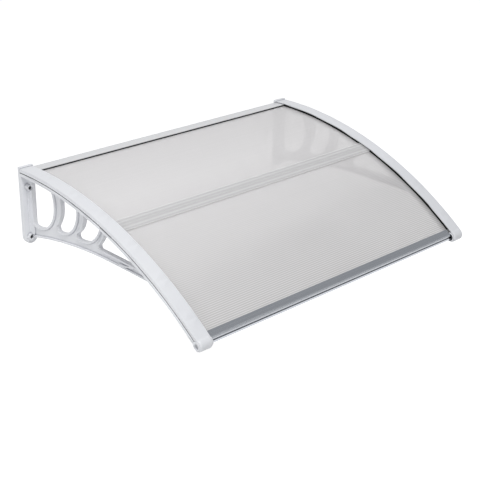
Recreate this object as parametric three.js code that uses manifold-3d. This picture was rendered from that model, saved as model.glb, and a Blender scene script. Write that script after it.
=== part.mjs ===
// A window and door awning: two moulded brackets, an arched twin-wall sheet in two halves,
// a joining strip, front and rear bars, clamping strips, seals and screws.
// Millimetres. X runs along the wall, the wall face is the plane y = 0, the awning reaches
// out towards -Y, and Z is up. The origin is on the wall, in the middle of the rear bar's back.

import * as THREE from "three";
import { mergeVertices } from "three/addons/utils/BufferGeometryUtils.js";
import Module from "manifold-3d";

// Overall sizes
const awningWidth = 1000;
const archRadius = 1110; // underside of the sheet
const archApexReach = 48; // from the wall to the highest point of the arch
const archApexHeight = 6; // underside of the sheet at that point
const sideWidth = 43; // bracket, along X
const fitGap = 0.3; // between pieces that touch

// Sheets
const sheetLength = 378; // each half, along the arch
const sheetThickness = 4.5;
const sheetSkin = 0.7;
const sheetWall = 0.6;
const channelPitch = 5.6;
const sheetEdgeInset = 14.4; // from the awning's side face to the sheet's edge

// Joining strip between the sheets
const stripFlangeWidth = 46;
const stripFlange = 1.5;
const stripWeb = 1.8;

// Bracket: wall plate
const plateThickness = 12;
const plateDrop = 181; // lower screw hole below the origin
const upperHoleDrop = 36;
const wallHoleRadius = 3.6;
const wallSinkRadius = 5.2;
const wallSinkDepth = 3;
const holeOffset = 3.5; // outward of the side's middle
const upperBossRadius = 8;
const upperBossReach = 27;
const lowerBossRadius = 10;
const lowerBossReach = 19;
const postReach = 31; // front of the post behind the first opening
const postFillet = 3;
const postOverlap = 1; // of its lower end and the lower boss
const plateBevel = 1.2;
const riserDepth = 9; // the plate's top edge, behind the clamping strip
const riserHeight = 14.5; // above the sheet's underside
const plateRim = 4;
const pocketDepth = 8;
const pocketCount = 3;
const pocketRib = 3;
const pocketTopDrop = 54;
const pocketBottomDrop = 160;

// Bracket: scroll between the post and the arch
const scrollThickness = 13;
const scrollOffset = 4; // inward of the side's middle
const scrollWeb = 4;
const rimWidth = 6.5;
const rimBevel = 1.8;
const flangeThickness = 9;
const lowerEdgeHeight = -138;
const lowerEdgeFlatReach = 380; // the lower edge is level in front of this
const lowerEdgeRadius = 1500;
const beamTop = -116; // lower side of the last opening
const straightRadius = 6000; // an arc this large stands for a straight side

// Each curl is bounded by an arc at its front and by another at its back
const curls = [
  { front: [47, -58, 85.5], corner: 10 },
  { back: [80.5, -51.5, 86], front: [150.5, -41, 84.5], corner: 11 },
  { back: [195.5, -45, 70], front: [245.5, -24, 94], corner: 9 },
  { back: [245.5, -24, 115], corner: 7 },
];
const topCorner = 4;
const topRib = 1; // left along the flange's underside
const braceStart = 408;
const braceRadius = 190;
const braceWidth = 5;

// Bracket: nose
const noseRadius = 13.2;
const noseRound = 2;
const noseSocketRadius = 11;
const noseWall = 10;
const noseSinkRadius = 7;
const noseSinkDepth = 7;
const noseDrop = 2.4; // its centre below the sheet's underside
const noseLead = 5.6; // its centre in front of the sheet's end

// Clamping strips
const clampInset = 3; // its inner edge, outside the bracket's
const stripTop = 11.8; // above the sheet's underside
const clampThickness = 2.8;
const clampLip = 3.2;
const clampLipRise = 2; // the lip's lower edge above the sheet's underside
const clampBossRadius = 4.3;
const clampRib = 1.5; // beside the sheet's edge
const clampScrewInset = 9.5;
const wrapThickness = 3; // where the strip wraps round the nose
const wrapRound = 6;
const wrapEnd = -100; // the wrap's lower end, as an angle about the nose's centre
const rearScrewLead = 96; // along the arch, in front of the rear sheet's rear end
const jointScrewLeads = [80, 114]; // behind and in front of the joint between the sheets
const frontScrewLead = 91; // behind the front sheet's front end

// Seals
const sideSealWidth = 8.5;
const sideSealProud = 2.6;
const rearSealWidth = 8;
const rearSealHeight = 2.2;
const rearSealProud = 1;

// Rear bar
const rearBarReach = 44;
const rearBarWall = 1.6;
const rearBarBottom = -11;
const rearBarBox = 12;
const rearBarShoulder = [6, 11]; // reach of its top shoulder, height of its back edge
const rearShelfReach = 32;
const spigotLength = 20;

// Front bar
const barFlange = 1.5;
const barFlangeLength = 16.5;
const barWeb = 1.5;
const frontFace = 4.7; // the upright front face, from the nose's centre
const frontBoxBack = -4.4;
const frontBoxBottom = -7;
const grooveBottom = -0.6;
const grooveTop = 2.9;
const grooveDepth = 2.6;
const beadRadius = 2.1;
const portRadius = 2.3;
const portCentre = [-0.4, -2.4];

// Screws
const clampScrew = { shank: 1.4, head: 3.8, headHeight: 2.4, length: 15 };
const noseScrew = { shank: 1.9, head: 5, headHeight: 2.6, length: 30 };
const screwClearance = 0.3;

const white = { color: 0xe9eaee, roughness: 0.45, metalness: 0 };
const clear = { color: 0xd9d9d8, roughness: 0.3, metalness: 0 };
const alloy = { color: 0x9b9ea3, roughness: 0.35, metalness: 0.9 };
const paleAlloy = { color: 0xc9cbcf, roughness: 0.4, metalness: 0.7 };
const black = { color: 0x151515, roughness: 0.8, metalness: 0 };
const steel = { color: 0xb4b6b8, roughness: 0.35, metalness: 1 };

const wasm = await Module();
wasm.setup();

// Profiles are drawn from the side: u is the reach from the wall, v is the height.
const degree = Math.PI / 180;
const archCentre = [archApexReach, archApexHeight - archRadius];
const halfSide = sideWidth / 2;
const halfWidth = awningWidth / 2;
const innerFace = halfWidth - sideWidth;
const clampWidth = sideWidth - clampInset;
const clampFace = halfWidth - clampWidth;
const arcStep = 2.5 * degree;
const arcChord = 35; // longest straight stretch in the scroll's large arcs

// Where the pieces lie along the arch, as angles from its highest point
const rearEnd = Math.asin((riserDepth + 1 - archApexReach) / archRadius);
const halfJoint = (stripWeb / 2 + fitGap) / archRadius;
const jointAngle = rearEnd + sheetLength / archRadius + halfJoint;
const frontEnd = jointAngle + halfJoint + sheetLength / archRadius;
const noseAngle = frontEnd + noseLead / archRadius;
const clampScrewAngles = [
  rearEnd + rearScrewLead / archRadius,
  jointAngle - jointScrewLeads[0] / archRadius,
  jointAngle + jointScrewLeads[1] / archRadius,
  frontEnd - frontScrewLead / archRadius,
];
const rearBarEnd = Math.asin((rearBarReach - archApexReach) / archRadius);
const flangeReach = stripFlangeWidth / 2 / archRadius;

// Heights above the sheet's underside, as radii from the arch's centre
const sheetTop = archRadius + sheetThickness;
const flangeTop = archRadius - fitGap;
const flangeBottom = flangeTop - flangeThickness;
const clampTop = archRadius + stripTop;
const clampUnder = clampTop - clampThickness;
const rearBarUnder = sheetTop + 2 * fitGap + rearSealHeight;
const rearBarTop = rearBarUnder + rearBarWall;

// The point of the arch at a radius and an angle
function onArch(radius, angle) {
  return [
    archCentre[0] + radius * Math.sin(angle),
    archCentre[1] + radius * Math.cos(angle),
  ];
}
const noseCentre = onArch(archRadius - noseDrop, noseAngle);

// Points along a circle's arc, from one angle to another
function arcPoints(centre, radius, from, to, step = arcStep) {
  const count = Math.max(2, Math.ceil(Math.abs(to - from) / step));
  const points = [];
  for (let i = 0; i <= count; i += 1) {
    const angle = from + ((to - from) * i) / count;
    points.push([
      centre[0] + radius * Math.cos(angle),
      centre[1] + radius * Math.sin(angle),
    ]);
  }
  return points;
}

// Points along the arch at one radius, between two angles
function archPoints(radius, from, to, step = 1.6 * degree) {
  const quarter = Math.PI / 2;
  return arcPoints(archCentre, radius, quarter - from, quarter - to, step);
}

function shapeFrom(points, holes = []) {
  const shape = new THREE.Shape(points.map(([u, v]) => new THREE.Vector2(u, v)));
  for (const hole of holes) {
    shape.holes.push(
      new THREE.Path(hole.map(([u, v]) => new THREE.Vector2(u, v))),
    );
  }
  return shape;
}

// A profile made solid between two places across the awning's side
function slab(points, from, to, holes = []) {
  const geometry = new THREE.ExtrudeGeometry(shapeFrom(points, holes), {
    depth: to - from,
    bevelEnabled: false,
  });
  return geometry.translate(0, 0, from);
}

// The same with its outer edges bevelled
function bevelledSlab(points, thickness, bevel) {
  const geometry = new THREE.ExtrudeGeometry(shapeFrom(points), {
    depth: thickness - 2 * bevel,
    bevelThickness: bevel,
    bevelSize: bevel,
    bevelOffset: -bevel,
    bevelSegments: 1,
  });
  return geometry.translate(0, 0, bevel - thickness / 2);
}

// A stretch of the arch between two radii and two angles
function archBand(inner, outer, from, to) {
  return [...archPoints(inner, from, to), ...archPoints(outer, to, from)];
}

// A round bar across the awning's side, centred on a point of the profile
function roundBar(centre, radius, from, to, sides = 40) {
  return new THREE.CylinderGeometry(radius, radius, to - from, sides)
    .rotateX(Math.PI / 2)
    .translate(centre[0], centre[1], (from + to) / 2);
}

// The same with its ends rounded over
function pillowBar(centre, radius, from, to, round) {
  const quarter = Math.PI / 2;
  const profile = [
    [0, from],
    ...arcPoints([radius - round, from + round], round, -quarter, 0, 18 * degree),
    ...arcPoints([radius - round, to - round], round, 0, quarter, 18 * degree),
    [0, to],
  ];
  return new THREE.LatheGeometry(
    profile.map(([x, y]) => new THREE.Vector2(x, y)),
    40,
  )
    .rotateX(quarter)
    .translate(centre[0], centre[1], 0);
}

// A round bar that stands square on the arch
function archPin(radius, inner, outer, angle, aside) {
  return new THREE.CylinderGeometry(radius, radius, outer - inner, 14)
    .rotateZ(-angle)
    .translate(...onArch((inner + outer) / 2, angle), aside);
}

// A round bar out from the wall
function wallPin(radius, from, to, height, aside) {
  return new THREE.CylinderGeometry(radius, radius, to - from, 32)
    .rotateZ(Math.PI / 2)
    .translate((from + to) / 2, height, aside);
}

function block(low, high) {
  const size = high.map((value, i) => value - low[i]);
  const middle = high.map((value, i) => (value + low[i]) / 2);
  return new THREE.BoxGeometry(...size).translate(...middle);
}

function solid(geometry) {
  const bare = geometry.clone();
  bare.deleteAttribute("normal");
  bare.deleteAttribute("uv");
  const merged = mergeVertices(bare, 1e-4);
  const mesh = new wasm.Mesh({
    numProp: 3,
    vertProperties: merged.getAttribute("position").array,
    triVerts: new Uint32Array(merged.index.array),
  });
  return new wasm.Manifold(mesh);
}

function join(pieces) {
  return pieces.map(solid).reduce((whole, piece) => whole.add(piece));
}

function cut(whole, pieces) {
  return pieces.map(solid).reduce((left, piece) => left.subtract(piece), whole);
}

function geometryOf(whole) {
  const mesh = whole.getMesh();
  const geometry = new THREE.BufferGeometry();
  geometry.setAttribute(
    "position",
    new THREE.BufferAttribute(mesh.vertProperties, 3),
  );
  geometry.setIndex(new THREE.BufferAttribute(mesh.triVerts, 1));
  geometry.computeVertexNormals();
  return geometry;
}

// The crossing of two circles that lies nearer to a hint
function crossing(first, second, hint) {
  const [ax, ay, ar] = first;
  const [bx, by, br] = second;
  const gap = Math.hypot(bx - ax, by - ay);
  const along = (gap * gap + ar * ar - br * br) / (2 * gap);
  const aside = Math.sqrt(Math.max(ar * ar - along * along, 0));
  const dx = (bx - ax) / gap;
  const dy = (by - ay) / gap;
  const foot = [ax + dx * along, ay + dy * along];
  const options = [1, -1].map((sign) => [
    foot[0] - sign * dy * aside,
    foot[1] + sign * dx * aside,
  ]);
  const reach = (point) => Math.hypot(point[0] - hint[0], point[1] - hint[1]);
  return reach(options[0]) < reach(options[1]) ? options[0] : options[1];
}

// A closed outline of arcs with rounded corners. Each side is a circle with the outline's
// inside within it (within: 1) or outside it (within: -1); corners follow the sides in turn.
function arcOutline(sides, corners) {
  const grown = (side, by) => [
    side.circle[0],
    side.circle[1],
    side.circle[2] - side.within * by,
  ];
  const rounds = corners.map((corner, i) => {
    const next = sides[(i + 1) % sides.length];
    const hub = crossing(
      grown(sides[i], corner.radius),
      grown(next, corner.radius),
      corner.near,
    );
    return { hub, radius: corner.radius, side: sides[i], next };
  });
  const angleOn = (side, point) =>
    Math.atan2(point[1] - side.circle[1], point[0] - side.circle[0]);
  const turn = (from, to, way) => {
    let span = to - from;
    while (way > 0 && span < 0) span += 2 * Math.PI;
    while (way < 0 && span > 0) span -= 2 * Math.PI;
    return span;
  };
  const points = [];
  rounds.forEach((round, i) => {
    const from = angleOn(round.side, round.hub) + (round.side.within < 0 ? Math.PI : 0);
    const to = angleOn(round.next, round.hub) + (round.next.within < 0 ? Math.PI : 0);
    const span = turn(from, to, 1);
    points.push(...arcPoints(round.hub, round.radius, from, from + span, 20 * degree));
    const after = rounds[(i + 1) % rounds.length];
    const side = round.next;
    const start = angleOn(side, round.hub);
    const way = side.within;
    const sweep = turn(start, angleOn(side, after.hub), way);
    const step = Math.min(8 * degree, arcChord / side.circle[2]);
    const stretch = arcPoints(side.circle, side.circle[2], start, start + sweep, step);
    points.push(...stretch.slice(1, -1));
  });
  return points;
}

// The outline of one opening of the scroll, grown on every side by a rim
function openingOutline(index, grow) {
  const curl = curls[index];
  const side = ([u, v, radius], within) => ({
    circle: [u, v, radius + within * grow],
    within,
  });
  const post = side([postReach - straightRadius, curls[0].front[1], straightRadius], -1);
  const beam = side([lowerEdgeFlatReach, beamTop - straightRadius, straightRadius], -1);
  const back = curl.back ? side(curl.back, -1) : post;
  const front = curl.front ? side(curl.front, 1) : beam;
  const top = { circle: [...archCentre, flangeBottom - topRib + grow], within: 1 };
  const backHub = curl.back ?? [0, curls[0].front[1], postReach];
  const right = curl.front
    ? [curl.front[0] + curl.front[2], archCentre[1] + archRadius]
    : onArch(flangeBottom, Math.acos((beamTop - archCentre[1]) / flangeBottom));
  const low = curl.front
    ? [backHub[0] + backHub[2] / 2, curl.front[1] - curl.front[2]]
    : [backHub[0] + backHub[2], beamTop];
  const high = [backHub[0] + backHub[2], 0];
  return arcOutline(
    [back, front, top],
    [
      { radius: curl.corner + grow, near: low },
      { radius: topCorner + grow, near: right },
      { radius: topCorner + grow, near: high },
    ],
  );
}

// Points of the scroll's lower edge, raised by some height, from the plate to the arch
function lowerEdge(raise) {
  const centre = [lowerEdgeFlatReach, lowerEdgeHeight - lowerEdgeRadius];
  const radius = lowerEdgeRadius + raise;
  const start = Math.acos((plateThickness / 2 - centre[0]) / radius);
  const level = lowerEdgeHeight + raise;
  const meet = Math.acos((level - archCentre[1]) / (flangeBottom + 1));
  return [
    ...arcPoints(centre, radius, start, Math.PI / 2, 1.5 * degree),
    onArch(flangeBottom + 1, meet),
  ];
}

// Everything of the scroll lies under the arch and above its lower edge
function scrollField() {
  const edge = lowerEdge(0);
  const [endU, endV] = edge[edge.length - 1];
  const endAngle = Math.atan2(endU - archCentre[0], endV - archCentre[1]);
  const startAngle = Math.asin((plateThickness / 2 - archApexReach) / flangeBottom);
  return [...edge, ...archPoints(flangeBottom + 2, endAngle, startAngle)];
}

// The curved brace that closes the beam's long pocket in front
function braceOutline() {
  const hub = [braceStart, lowerEdgeHeight + rimWidth - 1 + braceRadius];
  const from = -Math.PI / 2;
  const to = from + 38 * degree;
  return [
    ...arcPoints(hub, braceRadius, from, to, 5 * degree),
    ...arcPoints(hub, braceRadius - braceWidth, to, from, 5 * degree),
  ];
}

function makeScroll() {
  const field = solid(slab(scrollField(), -scrollThickness / 2, scrollThickness / 2));
  const rims = curls.map((curl, i) =>
    bevelledSlab(openingOutline(i, rimWidth), scrollThickness, rimBevel),
  );
  const lowerRim = [...lowerEdge(0), ...lowerEdge(rimWidth).reverse()];
  const raised = join([
    ...rims,
    bevelledSlab(lowerRim, scrollThickness, rimBevel),
    slab(braceOutline(), 1 - scrollThickness / 2, scrollThickness / 2 - 1),
    slab(scrollField(), -scrollWeb / 2, scrollWeb / 2),
  ]);
  const openings = curls.map((curl, i) =>
    slab(openingOutline(i, 0), -scrollThickness, scrollThickness),
  );
  return cut(raised.intersect(field), openings);
}

// The wall plate seen from the front, with its round lower end
function plateFace(top) {
  const points = arcPoints([0, -plateDrop], halfSide, -Math.PI, 0, 9 * degree);
  return [...points, [halfSide, top], [-halfSide, top]];
}

// The plate with the post on its front, as a plan drawn across and out
function postPlan() {
  const half = scrollThickness / 2;
  const foot = half + postFillet;
  const root = plateThickness + postFillet;
  const quarter = Math.PI / 2;
  const step = 15 * degree;
  const right = arcPoints([foot, root], postFillet, -quarter, -2 * quarter, step);
  const left = arcPoints([-foot, root], postFillet, 0, -quarter, step);
  const bevel = rimBevel;
  return [
    [-foot, plateThickness - 2],
    [foot, plateThickness - 2],
    ...right,
    [half, postReach - bevel],
    [half - bevel, postReach],
    [bevel - half, postReach],
    [-half, postReach - bevel],
    ...left,
  ];
}

function makePlate(outward) {
  const plateTop = onArch(flangeTop - 1, rearEnd)[1];
  const face = new THREE.ExtrudeGeometry(shapeFrom(plateFace(plateTop)), {
    depth: plateThickness - plateBevel,
    bevelThickness: plateBevel,
    bevelSize: plateBevel,
    bevelOffset: -plateBevel,
    bevelSegments: 1,
  }).rotateY(Math.PI / 2);
  const foot = lowerBossRadius - postOverlap - plateDrop;
  const post = new THREE.ExtrudeGeometry(shapeFrom(postPlan()), {
    depth: plateTop - foot,
    bevelEnabled: false,
  })
    .rotateX(-Math.PI / 2)
    .rotateY(-Math.PI / 2)
    .translate(0, foot, -outward * scrollOffset);
  const backFace = block([-20, -2 * plateDrop, -sideWidth], [0, plateDrop, sideWidth]);
  const plate = join([
    face,
    post,
    wallPin(upperBossRadius, 1, upperBossReach, -upperHoleDrop, outward * holeOffset),
    wallPin(lowerBossRadius, 1, lowerBossReach, -plateDrop, outward * holeOffset),
  ]);
  return cut(plate, [backFace, ...platePockets()]);
}

// Hollows in the plate's back, parted by ribs
function platePockets() {
  const height =
    (pocketBottomDrop - pocketTopDrop - (pocketCount - 1) * pocketRib) / pocketCount;
  const pockets = [];
  for (let i = 0; i < pocketCount; i += 1) {
    const low = -pocketBottomDrop + i * (height + pocketRib);
    pockets.push(
      block(
        [-1, low, plateRim - halfSide],
        [pocketDepth, low + height, halfSide - plateRim],
      ),
    );
  }
  return pockets;
}

// The rear bar slides over this block on the bracket's inner side
function spigotBlock(outward) {
  const inset = rearBarWall + fitGap;
  const inner = -outward * (halfSide + spigotLength);
  const outer = -outward * (halfSide - 2);
  return block(
    [inset, rearBarBottom + inset, Math.min(inner, outer)],
    [rearBarBox - inset, rearBoxTop() - inset, Math.max(inner, outer)],
  );
}

// Height of the rear bar's box, under the shelf that carries the sheet
function rearBoxTop() {
  return onArch(archRadius - fitGap - rearBarWall, rearEnd)[1] + rearBarWall - 1;
}

// A block across the side between two distances from its middle, measured outwards
function across(outward, from, to) {
  return [Math.min(outward * from, outward * to), Math.max(outward * from, outward * to)];
}

function clampScrewHoles(outward, radius, inner, outer) {
  const place = outward * (halfSide - clampScrewInset);
  return clampScrewAngles.map((angle) =>
    archPin(radius, inner, outer, angle, place),
  );
}

// The part of the bracket under the sheet: flange, riser at the wall, nose and spigot
function bracketTop(outward) {
  const riserTop = archApexHeight + riserHeight;
  const flangeBand = archBand(flangeBottom, flangeTop, rearFlangeStart(), noseAngle);
  const riser = [
    [0, 0],
    [riserDepth, 0],
    [riserDepth, riserTop - 1.5],
    [riserDepth - 1.5, riserTop],
    [0, riserTop],
  ];
  return join([
    slab(flangeBand, -halfSide, halfSide),
    slab(riser, -halfSide, halfSide),
    pillowBar(noseCentre, noseRadius, -halfSide, halfSide, noseRound),
    spigotBlock(outward),
  ]);
}

// The two holes for wall screws, with a sink for each head
function wallHoles(aside) {
  const places = [
    [upperBossReach, -upperHoleDrop],
    [lowerBossReach, -plateDrop],
  ];
  return places.flatMap(([reach, height]) => [
    wallPin(wallHoleRadius, -1, postReach + 1, height, aside),
    wallPin(wallSinkRadius, reach - wallSinkDepth, postReach + 1, height, aside),
  ]);
}

// The socket for the front bar's end, and the hole and sink for the screw that holds it
function noseHoles(outward) {
  const socket = across(outward, -halfSide - 1, halfSide - noseWall);
  const sink = across(outward, halfSide - noseSinkDepth, halfSide + 1);
  const bore = across(outward, 0, halfSide + 1);
  return [
    roundBar(noseCentre, noseSocketRadius, ...socket),
    roundBar(portPlace(), noseSinkRadius, ...sink),
    roundBar(portPlace(), noseScrew.shank + screwClearance, ...bore, 20),
  ];
}

// Room for the sheet's edge in the riser and the nose
function sheetSlot(outward) {
  const start = rearEnd - (2 * fitGap) / archRadius;
  const end = frontEnd + fitGap / archRadius;
  const reach = across(outward, -halfSide - 1, halfSide - sheetEdgeInset + fitGap);
  return slab(archBand(flangeTop, sheetTop + fitGap, start, end), ...reach);
}

function makeBracket(outward) {
  const body = makeScroll()
    .translate(0, 0, -outward * scrollOffset)
    .add(makePlate(outward))
    .add(bracketTop(outward));
  const bore = clampScrew.shank + screwClearance;
  return cut(body, [
    ...wallHoles(outward * holeOffset),
    ...clampScrewHoles(outward, bore, flangeBottom - 1, flangeTop + 1),
    ...noseHoles(outward),
    sheetSlot(outward),
    slab(jointNotch(), -sideWidth, sideWidth),
  ]);
}

// The flange starts on the wall
function rearFlangeStart() {
  return Math.asin((0.5 - archApexReach) / archRadius);
}

// The joining strip's lower flange lies in this notch in the bracket's flange
function jointNotch() {
  const reach = flangeReach + 2 * fitGap / archRadius;
  const floor = flangeTop - stripFlange - fitGap;
  return archBand(floor, flangeTop + 1, jointAngle - reach, jointAngle + reach);
}

// Centre of the screw port in the front bar
function portPlace() {
  return [noseCentre[0] + portCentre[0], noseCentre[1] + portCentre[1]];
}

// A clamping strip over the sheet's edge, with its outer lip and screw bosses
function makeClamp(outward) {
  const inner = halfSide - clampWidth;
  const start = Math.asin((riserDepth + fitGap - archApexReach) / clampTop);
  const plate = slab(
    archBand(clampUnder, clampTop, start, noseAngle),
    ...across(outward, inner, halfSide),
  );
  const lip = slab(
    archBand(archRadius + clampLipRise, clampUnder + 1, start, noseAngle),
    ...across(outward, halfSide - clampLip, halfSide),
  );
  const bosses = clampScrewHoles(outward, clampBossRadius, archRadius, clampUnder + 1);
  const bore = clampScrew.shank + screwClearance;
  const bores = clampScrewHoles(outward, bore, archRadius - 1, clampUnder - 1);
  const nose = roundBar(noseCentre, noseRadius + fitGap, -sideWidth, sideWidth);
  const riser = block([-10, 0, -sideWidth], [riserDepth + fitGap, 60, sideWidth]);
  const ribStart = halfSide - sheetEdgeInset + 2 * fitGap;
  const rib = slab(
    archBand(archRadius, clampUnder + 1, start, noseAngle),
    ...across(outward, ribStart, ribStart + clampRib),
  );
  const wrap = makeWrap(across(outward, inner, halfSide));
  return cut(join([plate, lip, rib, ...bosses]).add(wrap), [...bores, nose, riser]);
}

// The strip's front end, wrapped round the nose and down to its underside
function makeWrap([from, to]) {
  const radius = noseRadius + fitGap + wrapThickness;
  const drop = Math.acos((stripTop + noseDrop) / radius);
  const back = Math.PI / 2 - noseAngle + drop;
  const sector = [noseCentre, ...arcPoints(noseCentre, 2 * radius, wrapEnd * degree, back)];
  const shell = solid(pillowBar(noseCentre, radius, from, to, wrapRound));
  return shell.intersect(solid(slab(sector, from - 1, to + 1)));
}

// One half of the sheet: two skins joined by walls, with the channels along X
function sheetProfile(start) {
  const span = sheetLength / archRadius;
  const pitch = channelPitch / archRadius;
  const count = Math.floor((sheetLength - 2 * sheetWall) / channelPitch);
  const margin = (span - count * pitch) / 2;
  const halfWall = sheetWall / 2 / archRadius;
  const low = archRadius + sheetSkin;
  const high = sheetTop - sheetSkin;
  const holes = [];
  for (let i = 0; i < count; i += 1) {
    const from = start + margin + i * pitch + halfWall;
    const to = start + margin + (i + 1) * pitch - halfWall;
    holes.push([onArch(low, from), onArch(low, to), onArch(high, to), onArch(high, from)]);
  }
  return { outline: archBand(archRadius, sheetTop, start, start + span), holes };
}

function makeSheet(start) {
  const { outline, holes } = sheetProfile(start);
  const reach = halfWidth - sheetEdgeInset;
  return slab(outline, -reach, reach, holes);
}

// The joining strip: an H laid on its side, holding both sheets
function makeJoint() {
  const reach = halfWidth - sheetEdgeInset;
  const half = stripWeb / 2 / archRadius;
  const upper = sheetTop + fitGap;
  const lower = archRadius - fitGap;
  const from = jointAngle - flangeReach;
  const to = jointAngle + flangeReach;
  const outline = [
    ...archPoints(lower - stripFlange, from, to),
    ...archPoints(lower, to, jointAngle + half),
    ...archPoints(upper, jointAngle + half, to),
    ...archPoints(upper + stripFlange, to, from),
    ...archPoints(upper, from, jointAngle - half),
    ...archPoints(lower, jointAngle - half, from),
  ];
  return slab(outline, -reach, reach);
}

// The rear bar: a box on the wall, a shelf under the sheet and a cover over it
function makeRearBar() {
  const reach = innerFace - fitGap;
  const shelfTop = archRadius - fitGap;
  const shelfEnd = Math.asin((rearShelfReach - archApexReach) / archRadius);
  const shoulder = Math.asin((rearBarShoulder[0] - archApexReach) / rearBarTop);
  const inner = Math.asin((rearBarShoulder[0] + 1 - archApexReach) / rearBarUnder);
  const sheetSeat = Math.asin((rearBarWall - archApexReach) / shelfTop);
  const boxShelf = onArch(shelfTop - rearBarWall, sheetSeat)[1];
  const cover = [
    [0, boxShelf],
    [0, rearBarShoulder[1]],
    ...archPoints(rearBarTop, shoulder, rearBarEnd),
    ...archPoints(rearBarUnder, rearBarEnd, inner),
    [rearBarWall, rearBarShoulder[1] - rearBarWall],
    [rearBarWall, boxShelf],
  ];
  const shelfStart = Math.asin((0.5 - archApexReach) / shelfTop);
  const shelf = archBand(shelfTop - rearBarWall, shelfTop, shelfStart, shelfEnd);
  const boxHole = [
    [rearBarWall, rearBarBottom + rearBarWall],
    [rearBarBox - rearBarWall, rearBarBottom + rearBarWall],
    [rearBarBox - rearBarWall, rearBoxTop() - rearBarWall],
    [rearBarWall, rearBoxTop() - rearBarWall],
  ];
  const box = [
    [0, rearBarBottom],
    [rearBarBox, rearBarBottom],
    [rearBarBox, rearBoxTop()],
    [0, rearBoxTop()],
  ];
  const coverReach = clampFace - fitGap;
  const coverStart = Math.asin((riserDepth + fitGap - archApexReach) / rearBarUnder);
  const coverEnds = archBand(rearBarUnder, rearBarTop, coverStart, rearBarEnd);
  return join([
    slab(cover, -reach, reach),
    slab(coverEnds, -coverReach, coverReach),
    slab(shelf, -reach, reach),
    slab(box, -reach, reach, [boxHole]),
  ]);
}

// The front bar's upright nose: a rounded bead over a groove over a plain face
function frontBoxProfile() {
  const [u, v] = noseCentre;
  const top = onArch(sheetTop + fitGap + barFlange, noseAngle);
  const bead = [u + frontFace - beadRadius, v + grooveTop + beadRadius];
  const place = ([du, dv]) => [u + du, v + dv];
  const webBack = frontEnd + fitGap / archRadius;
  return [
    place([frontBoxBack, frontBoxBottom]),
    place([frontFace - 1, frontBoxBottom]),
    place([frontFace, frontBoxBottom + 1]),
    place([frontFace, grooveBottom]),
    place([frontFace - grooveDepth, grooveBottom]),
    place([frontFace - grooveDepth, grooveTop]),
    ...arcPoints(bead, beadRadius, -Math.PI / 2, 60 * degree, 15 * degree),
    [top[0] - 1.2, top[1] + 0.4],
    onArch(sheetTop + fitGap + barFlange, webBack),
    onArch(flangeTop - barFlange, webBack),
  ];
}

function makeFrontBar() {
  const reach = innerFace - fitGap;
  const deep = halfWidth - noseWall - fitGap;
  const back = frontEnd - barFlangeLength / archRadius;
  const overlap = frontEnd + (fitGap + barWeb) / archRadius;
  const upper = archBand(sheetTop + fitGap, sheetTop + fitGap + barFlange, back, overlap);
  const lower = archBand(flangeTop - barFlange, flangeTop, back, overlap);
  const port = roundBar(portPlace(), portRadius, -halfWidth, halfWidth, 24);
  const bar = join([
    slab(upper, -reach, reach),
    slab(lower, -reach, reach),
    slab(frontBoxProfile(), -deep, deep),
  ]);
  return cut(bar, [port]);
}

// A seal along the inner edge of a clamping strip, between two angles
function makeSideSeal(side, from, to) {
  const inner = clampFace - sideSealProud;
  const outer = inner + sideSealWidth;
  const outline = archBand(sheetTop + fitGap, clampUnder - fitGap, from, to);
  return slab(outline, ...across(-side, inner, outer));
}

function makeRearSeal() {
  const reach = clampFace - fitGap;
  const to = rearBarEnd + rearSealProud / archRadius;
  const from = to - rearSealWidth / archRadius;
  const low = sheetTop + fitGap;
  return slab(archBand(low, low + rearSealHeight, from, to), -reach, reach);
}

// A domed screw along +Y, its head's bearing face at the origin
function makeScrew({ shank, head, headHeight, length }) {
  const profile = [
    [0, -headHeight],
    [head * 0.6, -headHeight],
    [head * 0.92, -headHeight * 0.6],
    [head, -headHeight * 0.2],
    [head, 0],
    [shank, 0],
    [shank, length - 2 * shank],
    [0, length],
  ];
  return new THREE.LatheGeometry(
    profile.map(([x, y]) => new THREE.Vector2(x, y)),
    14,
  );
}

const awning = new THREE.Group();
const sideView = new THREE.Group();
sideView.rotation.set(Math.PI / 2, 0, -Math.PI / 2, "ZYX");
awning.add(sideView);

function addPiece(name, geometry, finish, parent = sideView) {
  const piece = new THREE.Mesh(geometry, new THREE.MeshStandardMaterial(finish));
  piece.name = name;
  parent.add(piece);
  return piece;
}

// In the side view, the third axis runs towards the left end of the awning
const sides = [
  { name: "left", outward: 1 },
  { name: "right", outward: -1 },
];
const sealStart = rearBarEnd + (rearSealProud + fitGap) / archRadius;
const sealStop = frontEnd - (barFlangeLength + fitGap) / archRadius;
const jointGap = flangeReach + fitGap / archRadius;

for (const { name, outward } of sides) {
  const middle = outward * (halfWidth - halfSide);
  const bracket = addPiece(`${name}_bracket`, geometryOf(makeBracket(outward)), white);
  bracket.position.z = middle;
  const clamp = addPiece(`${name}_clamping_strip`, geometryOf(makeClamp(outward)), white);
  clamp.position.z = middle;
  const rearSeal = makeSideSeal(-outward, sealStart, jointAngle - jointGap);
  addPiece(`${name}_rear_side_seal`, rearSeal, black);
  const frontSeal = makeSideSeal(-outward, jointAngle + jointGap, sealStop);
  addPiece(`${name}_front_side_seal`, frontSeal, black);
  clampScrewAngles.forEach((angle, i) => {
    const geometry = makeScrew(clampScrew).rotateZ(-angle);
    const screw = addPiece(`${name}_clamp_screw_${i + 1}`, geometry, steel);
    const [u, v] = onArch(flangeBottom - fitGap, angle);
    screw.position.set(u, v, middle + outward * (halfSide - clampScrewInset));
  });
  const noseGeometry = makeScrew(noseScrew).rotateX((-outward * Math.PI) / 2);
  const screw = addPiece(`${name}_nose_screw`, noseGeometry, steel);
  const bearing = halfWidth - noseSinkDepth + fitGap;
  screw.position.set(...portPlace(), outward * bearing);
}

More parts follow.
